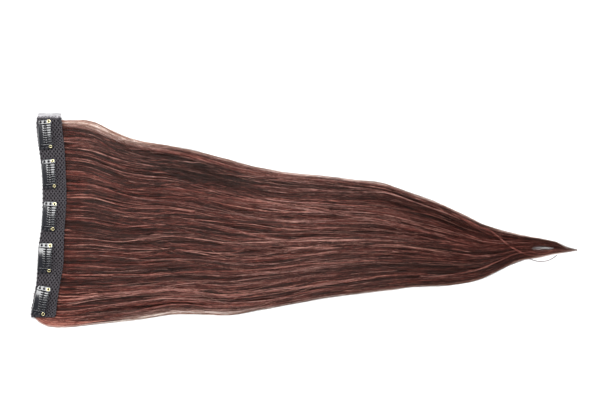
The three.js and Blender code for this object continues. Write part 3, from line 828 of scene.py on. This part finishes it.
# The band: backing cloth, net, and the stitches along its edges
def band_cloth():
    """A slab along the band. Its section is a flat strip with a rounded back edge that is turned
    down, carried along the band's middle line."""
    rows = 160
    y = np.linspace(BAND_LENGTH / 2, -BAND_LENGTH / 2, rows)[:, None]
    half = band_half(y) - 0.5 * MM
    top = BAND_TOP - 2 * (YARN + YARN_LIFT) + 0.2 * MM
    floor = top - CLOTH_WALL
    flat = np.linspace(-1, 1, 15)[1:-1]
    u = np.concatenate([[-1, -1, -0.96], flat, [0.97, 1, 1, 0.97], flat[::-1], [-0.93, -0.93]])
    z = np.concatenate([
        [top - LIP_DEPTH, top - 0.5 * MM, top],
        np.full(len(flat), top),
        [top, top - 0.2 * MM, floor + 0.2 * MM, floor],
        np.full(len(flat), floor),
        [floor, top - LIP_DEPTH],
    ])
    x = band_middle(y) + half * u
    ripple = 0.12 * MM * np.sin(y / (7 * MM)) * np.sin(2 * np.pi * u / 1.7)
    points = np.stack([x, y + 0 * x, z + ripple], -1)
    sides = len(u)
    around = grid_faces(rows, sides, closed=True)[:, ::-1]
    first = np.arange(sides)[None, :]
    last = (rows - 1) * sides + np.arange(sides)[::-1][None, :]
    cloth = make_piece("band_cloth", points.reshape(-1, 3), [around, first, last], BACKING_CLOTH)
    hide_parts("net_band")
    return cloth


def net_height(y):
    """Middle of the net: it lies on the cloth, and past its upper end bends down to the table."""
    beyond = (y - BAND_LENGTH / 2) / (FLAP_END - BAND_LENGTH / 2)
    return BAND_TOP - YARN - YARN_LIFT - (BAND_TOP - YARN - YARN_LIFT - 0.4 * MM) * ease(0, 1, beyond)


def band_x(y, place):
    """x at a place across the band, from -1 to 1. Past the ends the band runs straight on."""
    inside = np.clip(y, -BAND_LENGTH / 2, BAND_LENGTH / 2)
    return band_middle(inside) + band_half(inside) * place


def band_net():
    """Knitted net: cords along the band that swing from side to side and meet their neighbours. A
    cord's middle is at pitch * (column + swing / 2), where swing is a rounded zigzag along y, and its
    three yarns turn about that middle. Beside each clip's lower half the meshes lie closer."""
    columns = int(BAND_WIDTH / (MESH_WIDE / 2))
    steps = int(BAND_LENGTH / YARN_TURN * 5)
    y = np.linspace(BAND_LENGTH / 2 + 0.5 * MM, -BAND_LENGTH / 2, steps)[None, :]
    cord = np.repeat(np.arange(columns), 3)[:, None]
    yarn = np.tile(np.arange(3), columns)[:, None]
    meshes = y / MESH_LONG
    for place in CLIPS["along"]:
        lower_end = BAND_LENGTH * (0.5 - place) - CLIP_HALF
        meshes = meshes + 1.2 * ease(lower_end, lower_end + 13 * MM, y)
    side = np.where(cord % 2 == 0, 1, -1)
    zigzag = np.arcsin(0.97 * np.sin(2 * np.pi * meshes)) * 2 / np.pi
    place = (cord - (columns - 1) / 2 + 0.45 * side * zigzag) / (columns / 2 + 0.15)
    turn = 2 * np.pi * (y / YARN_TURN + yarn / 3) + 1.7 * cord
    x = band_x(y, place) + YARN_SWING * np.sin(turn)
    z = net_height(y) + YARN_LIFT * np.cos(turn)
    points, faces = tubes(np.stack([x, y + 0 * x, z], -1), np.full(x.shape, YARN), 4)
    net = make_piece("net_yarns", points, faces, KNITTED_NYLON)
    return net


def band_tulle():
    """Fine tulle that stands out past the band's upper end: two sets of slanting threads, with x at a
    place = start + slope * y across the band, kept inside its edges by folding it back there."""
    y = np.linspace(FLAP_END, BAND_LENGTH / 2 - 1.5 * MM, 12)[None, :]
    starts = np.arange(-1.4, 1.4, 2 * TULLE_PITCH / BAND_WIDTH)
    starts = np.concatenate([starts, starts])[:, None]
    slope = np.repeat([1, -1], len(starts) // 2)[:, None]
    place = starts + slope * (y - BAND_LENGTH / 2) / (BAND_WIDTH / 2) * 0.8
    place = np.abs((place + 1) % 4 - 2) - 1
    wear = 0.25 * MM * np.sin(40 * starts) * (y > FLAP_END - 0.1 * MM)
    x = band_x(y, 0.97 * place)
    z = net_height(y) + 0.1 * MM * slope + 0 * x
    radii = 0.06 * MM + 0.09 * MM * (1 - ease(BAND_LENGTH / 2, FLAP_END, y)) + 0 * x
    points, faces = tubes(np.stack([x, y + wear + 0 * x, z], -1), radii, 3)
    tulle = make_piece("net_tulle", points, faces, CLEAR_TULLE)
    return tulle


def band_stitches():
    """Sewing thread: a zigzag over the band's two long edges, x = edge + swing, and a row of dashes
    beside the front edge, where the hair is sewn on."""
    steps = int(BAND_LENGTH / (0.7 * MM))
    y = np.linspace(BAND_LENGTH / 2, -BAND_LENGTH / 2, steps)
    swing = np.where(np.arange(steps) % 2 == 0, 0, -1.2) * MM
    over = BAND_TOP + SEWING_THREAD - np.where(np.arange(steps) % 2 == 0, 1, 0) * MM
    paths = []
    for side in (-1, 1):
        x = band_x(y, side) + side * swing
        paths.append(np.stack([x, y, over], -1))
    points, faces = tubes(np.array(paths), np.full((2, steps), SEWING_THREAD), 4)
    dash = np.linspace(-1, 1, 6)[None, :]
    middle = np.arange(-BAND_LENGTH / 2 + 3 * MM, BAND_LENGTH / 2, 3.4 * MM)[:, None]
    dash_y = middle + 1.1 * MM * dash
    dash_x = band_x(dash_y, 0.86)
    dash_z = BAND_TOP + 0.05 * MM - 0.5 * MM * dash**4 + 0 * dash_x
    more, ends = tubes(np.stack([dash_x, dash_y, dash_z], -1), np.full(dash_x.shape, SEWING_THREAD), 4)
    faces += [face + len(points) for face in ends]
    thread = make_piece("edge_stitches", np.concatenate([points, more]), faces, POLYESTER_THREAD)
    return thread


cloth = band_cloth()
net = band_net()
tulle = band_tulle()
stitches = band_stitches()


# Snap clips
def arch(y):
    """Height of a clip's arch over its ends: a parabola along the clip."""
    return CLIP_ARCH * (1 - (y / CLIP_HALF) ** 2)


def clip_place(number):
    """The clip's middle, in the model's frame, and how far it is turned."""
    along, inset, turn = (CLIPS[key][number - 1] for key in ("along", "inset", "turn"))
    y = BAND_LENGTH * (0.5 - along)
    step = BAND_WIDTH / 4
    lean = math.atan2(band_middle(y - step) - band_middle(y + step), 2 * step)
    x = band_middle(y) - band_half(y) + inset * MM + CLIP_BACK
    return x, y, lean + turn


def put_clip(points, number):
    """Moves points from a clip's own frame to its place on the band."""
    x, y, lean = clip_place(number)
    c = math.cos(lean)
    s = math.sin(lean)
    moved = np.empty_like(points)
    moved[..., 0] = x + c * points[..., 0] - s * points[..., 1]
    moved[..., 1] = y + s * points[..., 0] + c * points[..., 1]
    moved[..., 2] = BAND_TOP + points[..., 2] - CLIPS["roll"][number - 1] * points[..., 0]
    return moved


LOWER_SHEET = GAP
UPPER_SHEET = LOWER_SHEET + STEEL + GAP
TAB_INNER = CLIP_HALF - TAB_LENGTH
RIVET_PLACE = CLIP_HALF - CLIP_FRONT
COMB_HALF = TAB_INNER - GAP
COMB_BACK = COMB_STEP_BACK - CLIP_BACK
TOOTH_ROOT = TOOTH_OVERHANG - TOOTH_LENGTH
SLEEVE_MIDDLE = LOWER_SHEET + STEEL / 2


def masked_sheet(xs, ys, metal):
    """The quads of a grid that are metal, with unused points dropped. xs and ys are (rows, columns)
    arrays of places, and metal is (rows - 1, columns - 1)."""
    rows, columns = xs.shape
    quads = grid_faces(rows, columns)[metal.ravel()]
    used, quads = np.unique(quads, return_inverse=True)
    points = np.stack([xs.ravel()[used], ys.ravel()[used]], -1)
    return points, quads.reshape(-1, 4)


def soft_steel(piece, levels=2):
    """Gives a sheet its wall and rounds its edges, as enamel does."""
    wall = piece.modifiers.new("wall", "SOLIDIFY")
    wall.thickness = STEEL
    wall.offset = 1
    wall.use_even_offset = True
    edges = piece.modifiers.new("rounded_edges", "SUBSURF")
    edges.levels = levels
    edges.render_levels = levels


def comb_height(x):
    """Underside of the comb: it rises to the roots of the teeth, rests there, then rises to a hump
    over the sleeve."""
    profile = table(("x", "z"), [
        (COMB_BACK / MM, 0.92),
        (-9.6, 1.2),
        (-7.8, 1.46),
        (-6.4, 1.67),
        (-5.8, 1.71),
        (-5, 1.72),
        (-4.5, 1.78),
        (-3.6, 1.99),
        (-2.7, 2.2),
        (-2, 2.32),
        (-1.4, 2.35),
        (0.2, 2.37),
        (1.3, 2.32),
        (2.1, 2.12),
        (TOOTH_OVERHANG / MM, 1.75),
    ])
    return MM * smooth_between(profile, "x", "z", x / MM)


def clip_comb(number):
    """The upper plate. Rows run from its back edge to the tips of the teeth, and columns along the
    clip, four lines to a tooth. A tooth is round at its root and flat over the sleeve, and its side
    lines close in towards its tip."""
    plate = np.linspace(COMB_BACK, TOOTH_ROOT, 8)
    teeth = np.linspace(TOOTH_ROOT, TOOTH_OVERHANG, 18)[1:]
    rows = np.concatenate([plate[:1], plate[:1] + 0.3 * MM, plate[1:], teeth])
    middles = (np.arange(TOOTH_COUNT) - (TOOTH_COUNT - 1) / 2) * TOOTH_PITCH
    half = TOOTH_WIDTH / 2
    along = np.clip((rows - TOOTH_ROOT) / TOOTH_LENGTH, 0, 1)[:, None, None]
    narrow = 1 - 0.2 * along - 0.45 * ease(0.86, 1, along)
    flat = 0.35 + 0.5 * ease(0.3, 0.5, along)
    sides = half * narrow * np.concatenate([-1 + 0 * flat, -flat, flat, 1 + 0 * flat], -1)
    lines = (middles[None, :, None] + sides).reshape(len(rows), -1)
    ends = np.full((len(rows), 1), COMB_HALF)
    ys = np.concatenate([-ends, lines, ends], 1)
    xs = np.repeat(rows[:, None], ys.shape[1], 1)
    tooth_column = np.zeros(ys.shape[1] - 1, bool)
    tooth_column[1:-1] = np.arange(ys.shape[1] - 3) % 4 != 3
    metal = (rows[:-1] < TOOTH_ROOT - 1e-6)[:, None] | tooth_column[None, :]
    places, quads = masked_sheet(xs, ys, metal)
    z = arch(places[:, 1]) + comb_height(places[:, 0])
    points = put_clip(np.column_stack([places, z]), number)
    comb = make_piece(
        f"comb_{number}_plate", points, [quads], CLIP_ENAMEL, body=f"comb_{number}",
    )
    soft_steel(comb, 1)
    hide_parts(f"clip_{number}_comb")


def clip_frame(number):
    """The lower ring and the two double ends. A grid of lines across and along the clip, without the
    window and the holes, which the subdivision rounds."""
    back_hole, front_hole = SEWING_HOLES
    across = np.array([
        -CLIP_BACK, -CLIP_BACK + RIM_WIDTH, back_hole + HOLE_HALF,
        front_hole - HOLE_HALF, front_hole + HOLE_HALF, -BAR_HALF, BAR_HALF, CLIP_FRONT,
    ])
    hole_columns = np.array([1, 3, 5])
    tab = np.array([TAB_INNER, RIVET_PLACE - HOLE_HALF, RIVET_PLACE + HOLE_HALF, CLIP_HALF])
    window = np.linspace(-TAB_INNER, TAB_INNER, 11)[1:-1]

    def layer(lines, metal, height):
        """One sheet of the frame, with its outer corners drawn in."""
        ys, xs = np.meshgrid(lines, across, indexing="ij")
        from_rivet = np.abs(ys) - RIVET_PLACE
        at_rivet = (np.abs(xs) < 1.5 * MM) & (np.abs(from_rivet) < 1.1 * HOLE_HALF)
        ys = ys + 0.5 * MM * at_rivet * np.sign(from_rivet) * np.sign(ys)
        out = ease(RIVET_PLACE, CLIP_HALF, np.abs(ys))
        xs = xs + out * np.where(xs < -0.9 * CLIP_BACK, BACK_CORNER, 0)
        xs = xs - out * np.where(xs > 0.9 * CLIP_FRONT, FRONT_CORNER, 0)
        inner = 1 - ease(TAB_INNER, RIVET_PLACE - HOLE_HALF, np.abs(ys))
        xs = xs - inner * np.where(xs > 0.9 * CLIP_FRONT, 0.9 * MM, 0)
        places, quads = masked_sheet(xs, ys, metal)
        back = 0.12 * np.maximum(-8 * MM - places[:, 0], 0)
        return np.column_stack([places, arch(places[:, 1]) + height - back]), quads[:, ::-1]

    tab_metal = np.ones((3, 7), bool)
    tab_metal[1, hole_columns] = False
    ring_metal = np.zeros((len(window) + 1, 7), bool)
    ring_metal[:, [0, 5]] = True
    all_lines = np.concatenate([-tab[::-1], window, tab])
    all_metal = np.concatenate([tab_metal[::-1], ring_metal, tab_metal])
    sheets = [
        layer(all_lines, all_metal, LOWER_SHEET),
        layer(tab, tab_metal, UPPER_SHEET),
        layer(-tab[::-1], tab_metal[::-1], UPPER_SHEET),
    ]
    first = np.cumsum([0] + [len(points) for points, _ in sheets])
    points = put_clip(np.concatenate([points for points, _ in sheets]), number)
    quads = np.concatenate([quads + start for (_, quads), start in zip(sheets, first)])
    ring = make_piece(f"clip_{number}_ring", points, [quads], CLIP_ENAMEL)
    soft_steel(ring)
    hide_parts(f"clip_{number}_frame")


def clip_sleeve(number):
    """A tube over the front bar that follows the arch, rounded off at both ends."""
    reach = TAB_INNER - GAP
    y = np.linspace(-reach, reach, 27)
    path = np.stack([0 * y, y, arch(y) + SLEEVE_MIDDLE], -1)[None]
    end = np.clip((reach - np.abs(y)) / (0.5 * MM), 0, 1)
    radii = SLEEVE_RADIUS * (0.8 + 0.2 * np.sqrt(end))[None]
    points, faces = tubes(path, radii, 16)
    sleeve = make_piece(f"clip_{number}_tube", put_clip(points, number), faces, CLIP_SILICONE)
    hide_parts(f"clip_{number}_sleeve")


def clip_rivet(number, side, word):
    """A hollow rivet: its outline, turned about its own axis, square to the clip's end."""
    top = UPPER_SHEET + STEEL - LOWER_SHEET
    outline = np.array([
        (1.06, -0.4), (1.3, -0.4), (1.3, -0.1), (1.15, -0.1), (1.15, top / MM - 0.05),
        (1.55, top / MM), (1.72, top / MM + 0.12), (1.66, top / MM + 0.32), (1.47, top / MM + 0.42),
        (1.27, top / MM + 0.38), (1.09, top / MM + 0.24), (1.06, top / MM - 0.1),
    ]) * MM
    sides = 24
    turn = 2 * np.pi * np.arange(sides) / sides
    x = outline[:, :1] * np.cos(turn)
    y = outline[:, :1] * np.sin(turn)
    z = outline[:, 1:] + 0 * x
    lean = -side * math.atan(2 * CLIP_ARCH * RIVET_PLACE / CLIP_HALF**2)
    turned_y = side * RIVET_PLACE + y * math.cos(lean) - z * math.sin(lean)
    turned_z = LOWER_SHEET + arch(RIVET_PLACE) + y * math.sin(lean) + z * math.cos(lean)
    points = np.stack([x, turned_y, turned_z], -1).reshape(-1, 3)
    ring = grid_faces(len(outline), sides, closed=True)[:, ::-1]
    last = (len(outline) - 1) * sides
    loop = np.arange(sides)
    close = np.stack([last + loop, loop, np.roll(loop, -1), last + np.roll(loop, -1)], -1)[:, ::-1]
    rivet = make_piece(
        f"clip_{number}_eyelet_{word}", put_clip(points, number), [ring, close], RIVET_BRASS,
    )
    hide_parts(f"clip_{number}_rivet_{word}")


def clip_stitches():
    """Sewing thread: loops that come up through each sewing hole, over the clip's end and down into
    the net, three to a hole."""
    turn = np.linspace(0, np.pi, 12)
    over_sheets = UPPER_SHEET + STEEL - LOWER_SHEET + 1.3 * SEWING_THREAD
    loops = []
    rng = np.random.default_rng(5)
    for number in range(1, 6):
        for side in (-1, 1):
            for hole in SEWING_HOLES:
                for fan in (-0.5, 0.0, 0.5):
                    spread = fan + rng.uniform(-0.12, 0.12)
                    reach = (CLIP_HALF - RIVET_PLACE) / 2 + 0.55 * MM
                    out = reach * (1 - np.cos(turn))
                    height = arch(RIVET_PLACE + np.minimum(out, 2.7 * MM)) + LOWER_SHEET
                    lift = over_sheets * np.sin(turn) ** 0.35
                    z = np.maximum((height + lift) * np.where(turn > 2.9, 0.2, 1), SEWING_THREAD)
                    x = hole + spread * MM * (0.3 + out / reach)
                    loops.append(put_clip(np.stack([x, side * (RIVET_PLACE + out), z], -1), number))
    paths = np.array(loops)
    points, faces = tubes(paths, np.full(paths.shape[:2], SEWING_THREAD), 5, up=(1, 0, 0))
    thread = make_piece("clip_stitches", points, faces, POLYESTER_THREAD)


for number in range(1, 6):
    clip_frame(number)
    clip_comb(number)
    clip_sleeve(number)
    clip_rivet(number, 1, "upper")
    clip_rivet(number, -1, "lower")
clip_stitches()


# Studio: a white table, a soft box beyond the band's upper end and a bright room
TABLE_HALF = 8  # metres, so that the table fills the picture from low views too


def studio():
    """Makes the floor, the lights and the world."""
    corners = TABLE_HALF * np.array([(-1, -1, 0), (1, -1, 0), (1, 1, 0), (-1, 1, 0)], float)
    material, tree = new_material("white_table")
    surface = node(tree, "ShaderNodeBsdfPrincipled", {
        "Base Color": colour("#c8c8c8"),
        "Roughness": 0.9,
        "Specular IOR Level": 0.2,
    })
    finish_material(tree, surface)
    floor = make_piece("floor", corners, [np.array([[0, 1, 2, 3]])], material, body=None)

    lamps = (
        ("key_softbox", (0.05, 0.56, 1.25), (1.18, 0.85), 38.6),
        ("left_softbox", (-1.5, 0, 1.2), (1.2, 1.2), 34),
        ("right_softbox", (2.0, 0, 1.2), (1.2, 1.2), 34),
    )
    for name, place, (wide, high), power in lamps:
        data = bpy.data.lights.new(name, "AREA")
        data.shape = "RECTANGLE"
        data.size = wide
        data.size_y = high
        data.energy = power
        lamp = bpy.data.objects.new(name, data)
        lamp.location = place
        aim = Vector((0.25, 0, 0)) - lamp.location
        lamp.rotation_euler = aim.to_track_quat("-Z", "Y").to_euler()
        bpy.context.scene.collection.objects.link(lamp)

    world = bpy.data.worlds.new("bright_room")
    world.use_nodes = True
    background = world.node_tree.nodes["Background"]
    background.inputs["Color"].default_value = (0.93, 0.96, 1, 1)
    background.inputs["Strength"].default_value = 0.25
    bpy.context.scene.world = world
    bpy.context.scene.view_settings.view_transform = "Standard"


studio()
